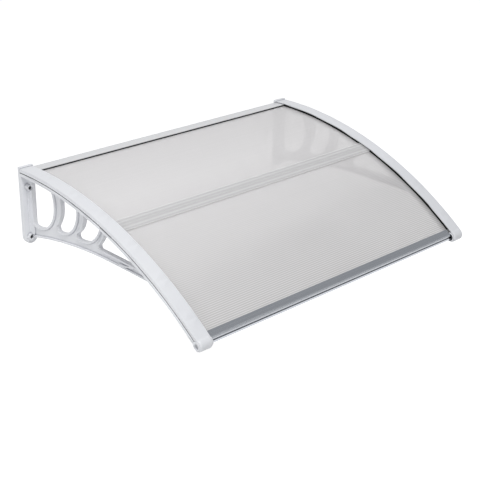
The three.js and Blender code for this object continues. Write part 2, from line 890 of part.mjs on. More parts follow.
addPiece("rear_sheet", makeSheet(rearEnd), clear);
addPiece("front_sheet", makeSheet(jointAngle + halfJoint), clear);
addPiece("sheet_joining_strip", makeJoint(), clear);
addPiece("rear_bar", geometryOf(makeRearBar()), paleAlloy);
addPiece("rear_seal", makeRearSeal(), black);
addPiece("front_bar", geometryOf(makeFrontBar()), alloy);

export default awning;
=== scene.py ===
import math

import bmesh
import bpy
import numpy as np
from mathutils import Matrix, Vector


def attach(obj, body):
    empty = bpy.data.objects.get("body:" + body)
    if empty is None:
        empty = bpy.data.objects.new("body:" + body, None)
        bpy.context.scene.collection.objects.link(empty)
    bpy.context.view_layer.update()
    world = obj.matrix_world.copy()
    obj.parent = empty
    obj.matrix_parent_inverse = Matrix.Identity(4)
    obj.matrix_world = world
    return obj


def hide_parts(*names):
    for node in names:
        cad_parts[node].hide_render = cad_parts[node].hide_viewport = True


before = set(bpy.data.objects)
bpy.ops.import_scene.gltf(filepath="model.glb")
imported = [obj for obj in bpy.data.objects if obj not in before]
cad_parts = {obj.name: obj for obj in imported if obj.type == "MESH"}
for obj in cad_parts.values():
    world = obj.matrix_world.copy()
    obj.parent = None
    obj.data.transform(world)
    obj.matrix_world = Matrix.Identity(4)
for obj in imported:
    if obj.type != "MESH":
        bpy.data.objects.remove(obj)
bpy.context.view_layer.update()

# Everything is in metres in the frame of the solid model: x along the wall, the wall face is
# y = 0, the awning reaches out towards -y, z is up.
mm = 0.001

# Sizes shared by several pieces, as the solid model has them
awning = {
    "halfWidth": 500 * mm,
    "archRadius": 1110 * mm,  # underside of the sheet
    "archReach": 48 * mm,  # the arch's highest point, from the wall
    "archHeight": 6 * mm,
    "sheetThickness": 4.5 * mm,
    "sheetLength": 378 * mm,
    "sheetEdge": 14.4 * mm,  # from the side face to the sheet's edge
    "stripWeb": 1.8 * mm,
    "riserDepth": 9 * mm,
    "gap": 0.3 * mm,
    "clampWidth": 40 * mm,
    "clampUnder": 9 * mm,  # above the sheet's underside
    "flangeUnder": -9.3 * mm,
    "noseLead": 5.6 * mm,
    "noseDrop": 2.4 * mm,
    "rearBarReach": 44 * mm,
}
archRadius = awning["archRadius"]
archCentre = np.array([awning["archReach"], awning["archHeight"] - archRadius])
sheetTop = archRadius + awning["sheetThickness"]
sheetSpan = awning["sheetLength"] / archRadius
rearEnd = math.asin((awning["riserDepth"] + 1 * mm - awning["archReach"]) / archRadius)
halfJoint = (awning["stripWeb"] / 2 + awning["gap"]) / archRadius
jointAngle = rearEnd + sheetSpan + halfJoint
frontEnd = jointAngle + halfJoint + sheetSpan
noseAngle = frontEnd + awning["noseLead"] / archRadius
rearBarEnd = math.asin((awning["rearBarReach"] - awning["archReach"]) / archRadius)

# Points closer than this become one, in a made mesh and in a copy of a solid's mesh
madeMerge = 0.0001 * mm
copiedMerge = 0.002 * mm


# Points of the arch as (reach, height): centre + radius * (sin angle, cos angle)
def onArch(radius, angle):
    radius, angle = np.broadcast_arrays(radius, angle)
    around = np.stack([np.sin(angle), np.cos(angle)], axis=-1)
    return archCentre + radius[..., None] * around


def smoothByAngle(mesh, degrees):
    mesh.shade_smooth()
    mesh.set_sharp_from_angle(angle=math.radians(degrees))


# A closed mesh from whole arrays of corners and faces, its faces turned outwards
def meshObject(name, verts, faces, smoothAngle=20):
    mesh = bpy.data.meshes.new(name)
    mesh.from_pydata(np.asarray(verts).tolist(), [], faces)
    bm = bmesh.new()
    bm.from_mesh(mesh)
    bmesh.ops.remove_doubles(bm, verts=bm.verts, dist=madeMerge)
    bmesh.ops.recalc_face_normals(bm, faces=bm.faces)
    bm.to_mesh(mesh)
    bm.free()
    smoothByAngle(mesh, smoothAngle)
    obj = bpy.data.objects.new(name, mesh)
    bpy.context.scene.collection.objects.link(obj)
    return obj


# Rings of equally many points joined in turn, with a plain face over the first and the last
def sweptObject(name, rings, smoothAngle=35):
    count, around = rings.shape[:2]
    start = np.arange(count - 1)[:, None] * around + np.arange(around)[None, :]
    after = np.roll(start, -1, axis=1)
    quads = np.stack([start, after, after + around, start + around], axis=-1).reshape(-1, 4)
    caps = [list(range(around)), list(range((count - 1) * around, count * around))]
    return meshObject(name, rings.reshape(-1, 3), quads.tolist() + caps, smoothAngle)


# A flat section, as (reach, height), set at both ends of a length along x
def endRings(profile, halfLength):
    return [
        np.column_stack([np.full(len(profile), x), -profile[:, 0], profile[:, 1]])
        for x in (-halfLength, halfLength)
    ]


# Rings from points (reach, height) at places x, one ring for each step along the arch
def archRings(x, points):
    wideX = np.broadcast_to(x, points.shape[:2])
    return np.stack([wideX, -points[..., 0], points[..., 1]], axis=-1)


def finishPiece(obj, material, node):
    obj.data.materials.clear()
    obj.data.materials.append(material)
    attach(obj, "root")
    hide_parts(node)


# A copy of a solid's mesh with its loose triangles merged, smooth on its curved faces; its edges
# are rounded over by the material
def cleanCopy(node, name, edgeAngle=22):
    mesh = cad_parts[node].data.copy()
    mesh.name = name
    bm = bmesh.new()
    bm.from_mesh(mesh)
    bmesh.ops.remove_doubles(bm, verts=bm.verts, dist=copiedMerge)
    bm.to_mesh(mesh)
    bm.free()
    mesh.materials.clear()
    smoothByAngle(mesh, edgeAngle)
    obj = bpy.data.objects.new(name, mesh)
    bpy.context.scene.collection.objects.link(obj)
    weighted = obj.modifiers.new("normals", "WEIGHTED_NORMAL")
    weighted.mode = "FACE_AREA_WITH_ANGLE"
    weighted.keep_sharp = True
    return obj


def newMaterial(name):
    material = bpy.data.materials.new(name)
    material.use_nodes = True
    tree = material.node_tree
    tree.nodes.clear()
    out = tree.nodes.new("ShaderNodeOutputMaterial")
    shader = tree.nodes.new("ShaderNodeBsdfPrincipled")
    tree.links.new(shader.outputs[0], out.inputs["Surface"])
    return material, tree, shader


def objectCoords(tree, scale=(1, 1, 1)):
    coords = tree.nodes.new("ShaderNodeTexCoord")
    mapping = tree.nodes.new("ShaderNodeMapping")
    mapping.inputs["Scale"].default_value = scale
    tree.links.new(coords.outputs["Object"], mapping.inputs["Vector"])
    return mapping.outputs[0]


def noiseOn(tree, vector, scale, detail=3.0, roughness=0.5):
    noise = tree.nodes.new("ShaderNodeTexNoise")
    noise.inputs["Scale"].default_value = scale
    noise.inputs["Detail"].default_value = detail
    noise.inputs["Roughness"].default_value = roughness
    tree.links.new(vector, noise.inputs["Vector"])
    return noise.outputs["Fac"]


def remap(tree, value, low, high, fromLow=0.3, fromHigh=0.7):
    node = tree.nodes.new("ShaderNodeMapRange")
    node.inputs["From Min"].default_value = fromLow
    node.inputs["From Max"].default_value = fromHigh
    node.inputs["To Min"].default_value = low
    node.inputs["To Max"].default_value = high
    tree.links.new(value, node.inputs["Value"])
    return node.outputs["Result"]


# Each colour is a value or another node's output
def mixColours(tree, factor, first, second):
    node = tree.nodes.new("ShaderNodeMix")
    node.data_type = "RGBA"
    tree.links.new(factor, node.inputs[0])
    for socket, colour in ((node.inputs[6], first), (node.inputs[7], second)):
        if isinstance(colour, tuple):
            socket.default_value = (*colour, 1)
        else:
            tree.links.new(colour, socket)
    return node.outputs[2]


def bumpFrom(tree, height, strength, distance, normal=None):
    bump = tree.nodes.new("ShaderNodeBump")
    bump.inputs["Strength"].default_value = strength
    bump.inputs["Distance"].default_value = distance
    tree.links.new(height, bump.inputs["Height"])
    if normal is not None:
        tree.links.new(normal, bump.inputs["Normal"])
    return bump.outputs[0]


# The surface's normal with its edges rounded over within a radius
def roundEdges(tree, radius):
    bevel = tree.nodes.new("ShaderNodeBevel")
    bevel.samples = 6
    bevel.inputs["Radius"].default_value = radius
    return bevel.outputs["Normal"]


# Each value is a number or another node's output
def mathOn(tree, operation, *values):
    node = tree.nodes.new("ShaderNodeMath")
    node.operation = operation
    for socket, value in zip(node.inputs, values):
        if isinstance(value, (int, float)):
            socket.default_value = value
        else:
            tree.links.new(value, socket)
    return node.outputs[0]


def splitCoords(tree):
    split = tree.nodes.new("ShaderNodeSeparateXYZ")
    tree.links.new(objectCoords(tree), split.inputs[0])
    return split.outputs


# What the sheets and the joining strip share as a material
clearPlastic = {
    "lineStretch": (0.6, 300, 300),  # drawn lines of the extrusion run along x
    "lineBump": (0.2, 0.02 * mm),  # strength and depth
    "cloudScale": 5.0,
    "ribSpan": (-0.6, 1.0),  # of the wave that draws the ribs
    "ribBump": (0.6, 0.05 * mm),
    "ior": 1.58,
    "mirror": 0.9,
}

# Twin-wall sheet: cells side by side along the arch. Each has four outer corners that it
# shares with its neighbours, and four corners of its channel; all run straight along x.
sheetBuild = {
    "skin": 0.7 * mm,
    "wall": 0.6 * mm,
    "pitch": 5.6 * mm,
    "colour": (0.91, 0.895, 0.90),
    "darker": (0.885, 0.87, 0.875),
    # painted shade: the colour darkens towards the sheet's front end
    "frontShadeColour": (0.64, 0.625, 0.63),
    "frontShadeStretch": (0.22, 0.62),  # angles along the arch
    # painted highlight along the ribs, stronger towards the front
    "ribHighlightColour": (0.96, 0.95, 0.93),
    "ribStrength": (0.10, 0.75),
    "ribStretch": (0.35, 0.60),  # angles along the arch
    "alpha": 0.41,
    "roughness": (0.13, 0.18),
}


# Where a point lies between two walls of the sheet: cos(2 pi * angle / pitch), with the angle
# along the arch from atan2(reach - centre, height - centre). Also that angle itself.
def ribWave(tree, pitch, start):
    place = splitCoords(tree)
    reach = mathOn(tree, "MULTIPLY_ADD", place["Y"], -1.0, -float(archCentre[0]))
    height = mathOn(tree, "SUBTRACT", place["Z"], float(archCentre[1]))
    angle = mathOn(tree, "ARCTAN2", reach, height)
    turns = mathOn(tree, "MULTIPLY", mathOn(tree, "SUBTRACT", angle, start), 2 * math.pi / pitch)
    return mathOn(tree, "COSINE", turns), angle


def twinWallMaterial(name, look, pitch, start):
    material, tree, shader = newMaterial(name)
    plastic = clearPlastic
    lines = noiseOn(tree, objectCoords(tree, plastic["lineStretch"]), 1.0, 2.0, 0.6)
    cloud = noiseOn(tree, objectCoords(tree), plastic["cloudScale"])
    colour = mixColours(tree, remap(tree, lines, 0, 1), look["colour"], look["darker"])
    normal = bumpFrom(tree, lines, *plastic["lineBump"])
    wave, angle = ribWave(tree, pitch, start)
    # painted shade, growing towards the front along the arch
    frontShadeAmount = remap(tree, angle, 0, 1, *look["frontShadeStretch"])
    colour = mixColours(tree, frontShadeAmount, colour, look["frontShadeColour"])
    # lighter lines painted where the walls stand: a painted highlight that grows towards the
    # front
    fade = remap(tree, angle, *look["ribStrength"], *look["ribStretch"])
    ribHighlightAmount = mathOn(tree, "MULTIPLY", remap(tree, wave, 0, 1, *plastic["ribSpan"]), fade)
    colour = mixColours(tree, ribHighlightAmount, colour, look["ribHighlightColour"])
    normal = bumpFrom(tree, wave, *plastic["ribBump"], normal)
    tree.links.new(colour, shader.inputs["Base Color"])
    tree.links.new(remap(tree, cloud, *look["roughness"]), shader.inputs["Roughness"])
    tree.links.new(normal, shader.inputs["Normal"])
    shader.inputs["Alpha"].default_value = look["alpha"]
    shader.inputs["IOR"].default_value = plastic["ior"]
    shader.inputs["Specular IOR Level"].default_value = plastic["mirror"]
    return material


def twinWallSheet(name, start):
    build = sheetBuild
    count = cellCount
    halfWall = build["wall"] / 2 / archRadius
    cell = start + cellMargin + cellPitch * np.arange(count + 1)
    left, right = cell[:-1] + halfWall, cell[1:] - halfWall
    cell[0], cell[-1] = start, start + sheetSpan
    low, high = archRadius + build["skin"], sheetTop - build["skin"]
    corners = [onArch(low, left), onArch(low, right), onArch(high, right), onArch(high, left)]
    channels = np.stack(corners, axis=1).reshape(-1, 2)
    profile = np.concatenate([onArch(archRadius, cell), onArch(sheetTop, cell), channels])
    ends = endRings(profile, awning["halfWidth"] - awning["sheetEdge"])
    n = len(profile)
    lower = np.arange(count)
    upper = count + 1 + lower
    inner = 2 * (count + 1) + 4 * lower
    # each end face is a frame of four quads round every channel
    frames = [
        [lower, lower + 1, inner + 1, inner],
        [lower + 1, upper + 1, inner + 2, inner + 1],
        [upper + 1, upper, inner + 3, inner + 2],
        [upper, lower, inner, inner + 3],
    ]
    long = [
        [lower, lower + n, lower + 1 + n, lower + 1],
        [upper, upper + 1, upper + 1 + n, upper + n],
    ]
    for i in range(4):
        p, q = inner + i, inner + (i + 1) % 4
        long.append([p, q, q + n, p + n])
    parts = [np.stack(f, 1) for f in frames] + [np.stack(f, 1) + n for f in frames]
    parts += [np.stack(f, 1) for f in long]
    last = 2 * count + 1
    shut = np.array([[0, count + 1, count + 1 + n, n], [count, count + n, last + n, last]])
    faces = np.concatenate([*parts, shut])
    return meshObject(name, np.concatenate(ends), faces.tolist())


cellCount = int((awning["sheetLength"] - 2 * sheetBuild["wall"]) // sheetBuild["pitch"])
cellPitch = sheetBuild["pitch"] / archRadius
cellMargin = (sheetSpan - cellCount * cellPitch) / 2
for half, halfStart in (("rear", rearEnd), ("front", jointAngle + halfJoint)):
    sheet = twinWallSheet(f"{half}TwinWall", halfStart)
    finish = twinWallMaterial(f"{half}TwinWall", sheetBuild, cellPitch, halfStart + cellMargin)
    finishPiece(sheet, finish, f"{half}_sheet")
print("stage: sheets")

# Joining strip: an H section carried along x. Its faces are arcs about the arch's centre, the
# top one sunk by depth * (1 - ((angle - line) / width)^2) along a few drawn lines.
stripBuild = {
    "flangeWidth": 46 * mm,
    "flange": 1.5 * mm,
    "edgeRound": 0.5 * mm,
    "lines": (-17 * mm, -1.6 * mm, 1.6 * mm, 17 * mm),
    "lineWidth": 1.2 * mm,
    "lineDepth": 0.45 * mm,
    "points": 117,  # across the strip
    "smoothAngle": 25,
    "colour": (0.80, 0.79, 0.80),
    "frontShadeColour": (0.80, 0.79, 0.80),
    "frontShadeStretch": (0.22, 0.62),
    "darker": (0.76, 0.75, 0.76),
    # painted highlight in stripes along the strip
    "ribHighlightColour": (0.95, 0.95, 0.95),
    "ribStrength": (0.9, 0.9),
    "ribStretch": (0.0, 1.0),
    "ribPitch": 11.5 * mm,
    "alpha": 0.48,
    "roughness": (0.16, 0.24),
}


def joiningStrip(name):
    build = stripBuild
    half = build["flangeWidth"] / 2
    along = np.linspace(-half, half, build["points"])
    soft = np.clip((np.abs(along) - half + build["edgeRound"]) / build["edgeRound"], 0, 1)
    sink = build["edgeRound"] * (1 - np.sqrt(1 - soft**2))
    for line in build["lines"]:
        away = (along - line) / build["lineWidth"]
        sink = np.maximum(sink, build["lineDepth"] * np.clip(1 - away**2, 0, 1))
    upper = sheetTop + awning["gap"]
    lower = archRadius - awning["gap"]
    angles = jointAngle + along / archRadius
    web = awning["stripWeb"] / 2
    after, before = along[along > web][::-1], along[along < -web]
    afterAngles = jointAngle + np.append(after, web) / archRadius
    beforeAngles = jointAngle + np.append(before, -web)[::-1] / archRadius
    outline = [
        onArch(upper + build["flange"] - sink, angles),
        onArch(upper, afterAngles),
        onArch(lower, afterAngles[::-1]),
        onArch(lower - build["flange"], angles[::-1]),
        onArch(lower, beforeAngles[::-1]),
        onArch(upper, beforeAngles),
    ]
    profile = np.concatenate(outline)
    rings = np.stack(endRings(profile, awning["halfWidth"] - awning["sheetEdge"]))
    return sweptObject(name, rings, build["smoothAngle"])


strip = joiningStrip("joiningStrip")
stripPitch = stripBuild["ribPitch"] / archRadius
stripMaterial = twinWallMaterial("clearJoiningStrip", stripBuild, stripPitch, jointAngle)
finishPiece(strip, stripMaterial, "sheet_joining_strip")
print("stage: joining strip")

# Seals: a superellipse section, |a/w|^n + |b/h|^n = 1, carried along the arch or along x
sealBuild = {
    "sideWidth": 8.5 * mm,
    "sideProud": 2.6 * mm,
    "rearWidth": 9.8 * mm,
    "rearHeight": 2.2 * mm,
    "rearProud": 2 * mm,
    "power": 4.0,
    "sectionPoints": 28,
    "archPoints": 60,
    "frontStop": 16.5 * mm,  # from the front sheet's end
    "colour": (0.006, 0.006, 0.0065),
    "dustColour": (0.016, 0.016, 0.0165),
    "dustScale": 40.0,
    "grainScale": 700.0,
    "grainRoughness": (0.6, 0.75),
    "grainBump": (0.4, 0.05 * mm),
    "mirror": 0.03,
}


def blackRubber(look):
    material, tree, shader = newMaterial("blackSealRubber")
    coords = objectCoords(tree)
    grain = noiseOn(tree, coords, look["grainScale"], 3.0, 0.6)
    dust = noiseOn(tree, coords, look["dustScale"], 3.0, 0.6)
    colour = mixColours(tree, remap(tree, dust, 0, 1), look["colour"], look["dustColour"])
    tree.links.new(colour, shader.inputs["Base Color"])
    tree.links.new(remap(tree, grain, *look["grainRoughness"]), shader.inputs["Roughness"])
    tree.links.new(bumpFrom(tree, grain, *look["grainBump"]), shader.inputs["Normal"])
    shader.inputs["Specular IOR Level"].default_value = look["mirror"]
    return material


# Section points as (across, up) within half width and half height
def superellipse(halfWide, halfHigh):
    turn = 2 * np.pi * np.arange(sealBuild["sectionPoints"]) / sealBuild["sectionPoints"]
    power = 2 / sealBuild["power"]
    wide = halfWide * np.sign(np.cos(turn)) * np.abs(np.cos(turn)) ** power
    high = halfHigh * np.sign(np.sin(turn)) * np.abs(np.sin(turn)) ** power
    return wide, high


def sideSeal(name, side, start, end):
    build = sealBuild
    low = sheetTop + awning["gap"]
    high = archRadius + awning["clampUnder"] - awning["gap"]
    wide, up = superellipse(build["sideWidth"] / 2, (high - low) / 2)
    inner = awning["halfWidth"] - awning["clampWidth"] - build["sideProud"]
    x = side * (inner + build["sideWidth"] / 2) + wide
    angles = np.linspace(start, end, build["archPoints"])
    points = onArch((low + high) / 2 + up[None, :], angles[:, None])
    return sweptObject(name, archRings(x, points))


def rearSealStrip(name):
    build = sealBuild
    centre = rearBarEnd + (build["rearProud"] - build["rearWidth"] / 2) / archRadius
    wide, up = superellipse(build["rearWidth"] / 2, build["rearHeight"] / 2)
    middle = sheetTop + awning["gap"] + build["rearHeight"] / 2
    points = onArch(middle + up, centre + wide / archRadius)
    reach = awning["halfWidth"] - awning["clampWidth"] - awning["gap"]
    return sweptObject(name, np.stack(endRings(points, reach)))


rubber = blackRubber(sealBuild)
stripReach = (stripBuild["flangeWidth"] / 2 + awning["gap"]) / archRadius
sealStretches = {
    "rear": (
        rearBarEnd + (sealBuild["rearProud"] + awning["gap"]) / archRadius,
        jointAngle - stripReach,
    ),
    "front": (
        jointAngle + stripReach,
        frontEnd - (sealBuild["frontStop"] + awning["gap"]) / archRadius,
    ),
}
for sideName, sideSign in (("left", -1), ("right", 1)):
    for part, (sealFrom, sealTo) in sealStretches.items():
        seal = sideSeal(f"{sideName}{part.capitalize()}Seal", sideSign, sealFrom, sealTo)
        finishPiece(seal, rubber, f"{sideName}_{part}_side_seal")
finishPiece(rearSealStrip("rearSealStrip"), rubber, "rear_seal")

# A black cord in the seam between a clamping strip's lip and the bracket, seen along the side
# faces: painted shade standing in for the shadow in the gap
shadeCordBuild = {
    "inset": 0.3 * mm,  # from the side face
    "width": 2 * mm,
    "low": -0.4 * mm,  # above the sheet's underside
    "high": 2.4 * mm,
    "archPoints": 100,
}


def paintedShadeCord(name, side):
    build = shadeCordBuild
    wide, up = superellipse(build["width"] / 2, (build["high"] - build["low"]) / 2)
    x = side * (awning["halfWidth"] - build["inset"] - build["width"] / 2) + wide
    start = math.asin((awning["riserDepth"] + awning["gap"] - awning["archReach"]) / archRadius)
    angles = np.linspace(start, frontEnd, build["archPoints"])
    middle = archRadius + (build["low"] + build["high"]) / 2
    points = onArch(middle + up[None, :], angles[:, None])
    return sweptObject(name, archRings(x, points))


for sideName, sideSign in (("left", -1), ("right", 1)):
    # each cord is painted shade in the seam, given the seals' black rubber
    shadeCordObject = paintedShadeCord(f"{sideName}PaintedShadeCord", sideSign)
    shadeCordObject.data.materials.append(rubber)
    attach(shadeCordObject, "root")
print("stage: seals")

# Brackets and clamping strips: white moulded plastic
plasticBuild = {
    "colour": (0.78, 0.79, 0.815),
    "cloudColour": (0.76, 0.77, 0.80),
    "cloudScale": 9.0,
    "cornerShadeColour": (0.42, 0.43, 0.47),  # painted shade in the inner corners
    "cornerReach": 7 * mm,
    "cornerOpen": (0.45, 0.85),  # how open a place is, from darkest to clear
    "cornerSamples": 8,
    "roughness": (0.32, 0.42),
    "holePlaces": ((482 * mm, -36 * mm), (482 * mm, -181 * mm)),  # x either side, and height
    "holeRadius": 4.9 * mm,
    "holeFront": -25 * mm,
    "holeShadeColour": (0.035, 0.035, 0.04),
    "patchScale": 60.0,
    "rippleScale": 35.0,
    "rippleBump": (0.2, 0.2 * mm),
    "grainScale": 900.0,
    "grainBump": (0.35, 0.03 * mm),
    "ior": 1.48,
    "bracketEdge": 0.55 * mm,
    "clampEdge": 0.9 * mm,
}


# One inside the wall screws' holes, where shade is painted: sqrt(dx^2 + dz^2) < radius,
# near the wall
def holeShadeMask(tree, look):
    place = splitCoords(tree)
    across = mathOn(tree, "ABSOLUTE", place["X"])
    mask = None
    for x, z in look["holePlaces"]:
        dx = mathOn(tree, "POWER", mathOn(tree, "SUBTRACT", across, x), 2.0)
        dz = mathOn(tree, "POWER", mathOn(tree, "SUBTRACT", place["Z"], z), 2.0)
        away = mathOn(tree, "SQRT", mathOn(tree, "ADD", dx, dz))
        inside = mathOn(tree, "LESS_THAN", away, look["holeRadius"])
        mask = inside if mask is None else mathOn(tree, "MAXIMUM", mask, inside)
    nearWall = mathOn(tree, "GREATER_THAN", place["Y"], look["holeFront"])
    return mathOn(tree, "MULTIPLY", mask, nearWall)


def mouldedPlastic(name, look, edge, paintShade):
    material, tree, shader = newMaterial(name)
    coords = objectCoords(tree)
    cloud = noiseOn(tree, coords, look["cloudScale"], 4.0, 0.55)
    colour = mixColours(tree, remap(tree, cloud, 0, 1), look["colour"], look["cloudColour"])
    if paintShade:
        # painted shade in the inner corners, darker where ambient occlusion finds them closed in
        corners = tree.nodes.new("ShaderNodeAmbientOcclusion")
        corners.samples = look["cornerSamples"]
        corners.inputs["Distance"].default_value = look["cornerReach"]
        clear = remap(tree, corners.outputs["AO"], 0, 1, *look["cornerOpen"])
        colour = mixColours(tree, clear, look["cornerShadeColour"], colour)
        # painted shade inside the wall screws' holes
        colour = mixColours(tree, holeShadeMask(tree, look), colour, look["holeShadeColour"])
    tree.links.new(colour, shader.inputs["Base Color"])
    patches = noiseOn(tree, coords, look["patchScale"], 3.0, 0.6)
    tree.links.new(remap(tree, patches, *look["roughness"]), shader.inputs["Roughness"])
    waves = noiseOn(tree, coords, look["rippleScale"], 2.0)
    ripple = bumpFrom(tree, waves, *look["rippleBump"], roundEdges(tree, edge))
    grain = noiseOn(tree, coords, look["grainScale"], 2.0)
    normal = bumpFrom(tree, grain, *look["grainBump"], ripple)
    tree.links.new(normal, shader.inputs["Normal"])
    shader.inputs["IOR"].default_value = look["ior"]
    return material


bracketPlastic = mouldedPlastic(
    "whiteBracketPlastic", plasticBuild, plasticBuild["bracketEdge"], True
)
clampPlastic = mouldedPlastic(
    "whiteStripPlastic", plasticBuild, plasticBuild["clampEdge"], False
)
for sideName in ("left", "right"):
    node = f"{sideName}_bracket"
    bracket = cleanCopy(node, f"{sideName}MouldedBracket")
    finishPiece(bracket, bracketPlastic, node)
    node = f"{sideName}_clamping_strip"
    clamp = cleanCopy(node, f"{sideName}ClampingStrip", 35)
    finishPiece(clamp, clampPlastic, node)
print("stage: brackets and clamping strips")

# Front and rear bars: drawn aluminium
barBuild = {
    "grooveShadeColour": (0.25, 0.26, 0.28),
    "grooveDepth": (1.6 * mm, 3 * mm),  # behind the front face, where shade is painted dark
    "frontFace": 4.7 * mm,  # in front of the nose's centre
    "grooveHeight": (-0.8 * mm, 3.0 * mm),  # from the nose's centre
    "edge": 0.4 * mm,
    "streakStretch": (1.2, 900, 900),
    "streakBump": (0.3, 0.015 * mm),
    "broadStretch": (2.5, 60, 60),
}
# the front bar's aluminium, its tone lowered below the rear bar's as painted shade
frontShadedLook = {
    "colour": (0.54, 0.555, 0.585),
    "darker": (0.49, 0.505, 0.535),
    "roughness": (0.16, 0.24),
    "metallic": 1.0,
}
rearLook = {
    "colour": (0.70, 0.705, 0.72),
    "darker": (0.66, 0.665, 0.68),
    "roughness": (0.30, 0.42),
    "metallic": 0.5,
}


# One inside the groove of the front bar, where shade is painted dark: a box of reach and height
def grooveShadeMask(tree):
    reach, height = onArch(archRadius - awning["noseDrop"], noseAngle)
    place = splitCoords(tree)
    face = barBuild["frontFace"]
    shallow, deep = barBuild["grooveDepth"]
    low, high = barBuild["grooveHeight"]
    tests = (
        ("Y", "GREATER_THAN", -(reach + face - shallow)),
        ("Y", "LESS_THAN", -(reach + face - deep)),
        ("Z", "GREATER_THAN", height + low),
        ("Z", "LESS_THAN", height + high),
    )
    mask = 1.0
    for axis, operation, value in tests:
        inside = mathOn(tree, operation, place[axis], float(value))
        mask = mathOn(tree, "MULTIPLY", inside, mask)
    return mask


def drawnMetal(name, look, groove):
    material, tree, shader = newMaterial(name)
    streaks = noiseOn(tree, objectCoords(tree, barBuild["streakStretch"]), 1.0, 3.0, 0.6)
    broad = noiseOn(tree, objectCoords(tree, barBuild["broadStretch"]), 1.0, 2.0)
    tint = mixColours(tree, remap(tree, streaks, 0, 1), look["colour"], look["darker"])
    if groove:
        # painted shade in the front bar's groove
        tint = mixColours(tree, grooveShadeMask(tree), tint, barBuild["grooveShadeColour"])
    tree.links.new(tint, shader.inputs["Base Color"])
    tree.links.new(remap(tree, broad, *look["roughness"]), shader.inputs["Roughness"])
    edges = roundEdges(tree, barBuild["edge"])
    normal = bumpFrom(tree, streaks, *barBuild["streakBump"], edges)
    tree.links.new(normal, shader.inputs["Normal"])
    shader.inputs["Metallic"].default_value = look["metallic"]
    return material


frontMetal = drawnMetal("frontBarMetal", frontShadedLook, True)
rearMetal = drawnMetal("rearBarMetal", rearLook, False)
frontBar = cleanCopy("front_bar", "frontBarExtrusion")
finishPiece(frontBar, frontMetal, "front_bar")
rearBar = cleanCopy("rear_bar", "rearBarExtrusion")
finishPiece(rearBar, rearMetal, "rear_bar")
print("stage: bars")

# Screws: rings about an axis. The head's height is -h * (1 - dome * (r/R)^4), lowered by the
# cross recess where |x| or |y| is small, and the shank's radius swells with its thread.
screwBuild = {
    "clamp": {"shank": 1.4 * mm, "head": 3.8 * mm, "height": 2.4 * mm, "length": 15 * mm},
    "nose": {"shank": 1.9 * mm, "head": 5.0 * mm, "height": 2.6 * mm, "length": 30 * mm},
    "rearLead": 96 * mm,  # along the arch, in front of the rear sheet's rear end
    "jointLeads": (80 * mm, 114 * mm),  # behind and in front of the joint
    "frontLead": 91 * mm,  # behind the front sheet's front end
    "inset": 9.5 * mm,  # from the awning's side face
    "noseInset": 6.7 * mm,
    "port": (-0.4 * mm, -2.4 * mm),  # from the nose's centre
    "recess": 0.5,  # depth, as a part of the head's height
    "armWidth": 0.13,
    "armReach": 0.6,
    "threadPitch": 1.3 * mm,
    "threadDepth": 0.22 * mm,
    "dome": 0.7,
    "armSoft": (0.05, 0.08),  # blend beside and at the end of an arm
    "headRings": (0.02, 22),  # the first one's radius, as a part of the head's, and how many
    "shankRings": 72,
    "tip": 0.04,  # the point's radius, as a part of the shank's
    "around": 56,
    "colour": (0.50, 0.51, 0.52),
    "paler": (0.66, 0.67, 0.68),
    "grainScale": 500.0,
    "roughness": (0.25, 0.42),
}


def crossScrew(name, size, place, axis):
    build = screwBuild
    turn = 2 * np.pi * np.arange(build["around"]) / build["around"]
    first, count = build["headRings"]
    headR = size["head"] * np.linspace(first, 1, count)[:, None] * np.ones_like(turn)
    part = headR / size["head"]
    x, y = np.abs(part * np.cos(turn)), np.abs(part * np.sin(turn))
    beside, end = build["armSoft"]
    arm = np.clip((build["armWidth"] - np.minimum(x, y)) / beside + 0.5, 0, 1)
    arm = arm * np.clip((build["armReach"] - part) / end, 0, 1)
    headH = -size["height"] * (1 - build["dome"] * part**4 - build["recess"] * arm)
    under = np.array([size["head"], size["shank"]])[:, None] * np.ones_like(turn)
    along = np.linspace(0, size["length"], build["shankRings"])[1:, None] * np.ones_like(turn)
    tip = np.clip((size["length"] - along) / (2 * size["shank"]), build["tip"], 1)
    wave = 0.5 - 0.5 * np.cos(2 * np.pi * along / build["threadPitch"] - turn)
    shankR = (size["shank"] - build["threadDepth"] * wave) * tip
    radius = np.concatenate([headR, under, shankR])
    height = np.concatenate([headH, np.zeros_like(under), along])
    axis = np.asarray(axis, float)
    side = np.cross(axis, (1, 0, 0) if abs(axis[0]) < 0.5 else (0, 0, 1))
    side /= np.linalg.norm(side)
    other = np.cross(axis, side)
    rings = (
        np.asarray(place)
        + height[..., None] * axis
        + (radius * np.cos(turn))[..., None] * side
        + (radius * np.sin(turn))[..., None] * other
    )
    return sweptObject(name, rings, 40)


def zincSteel():
    material, tree, shader = newMaterial("zincSteel")
    grain = noiseOn(tree, objectCoords(tree), screwBuild["grainScale"], 3.0, 0.6)
    colour = mixColours(tree, grain, screwBuild["colour"], screwBuild["paler"])
    tree.links.new(colour, shader.inputs["Base Color"])
    tree.links.new(remap(tree, grain, *screwBuild["roughness"]), shader.inputs["Roughness"])
    shader.inputs["Metallic"].default_value = 1.0
    return material


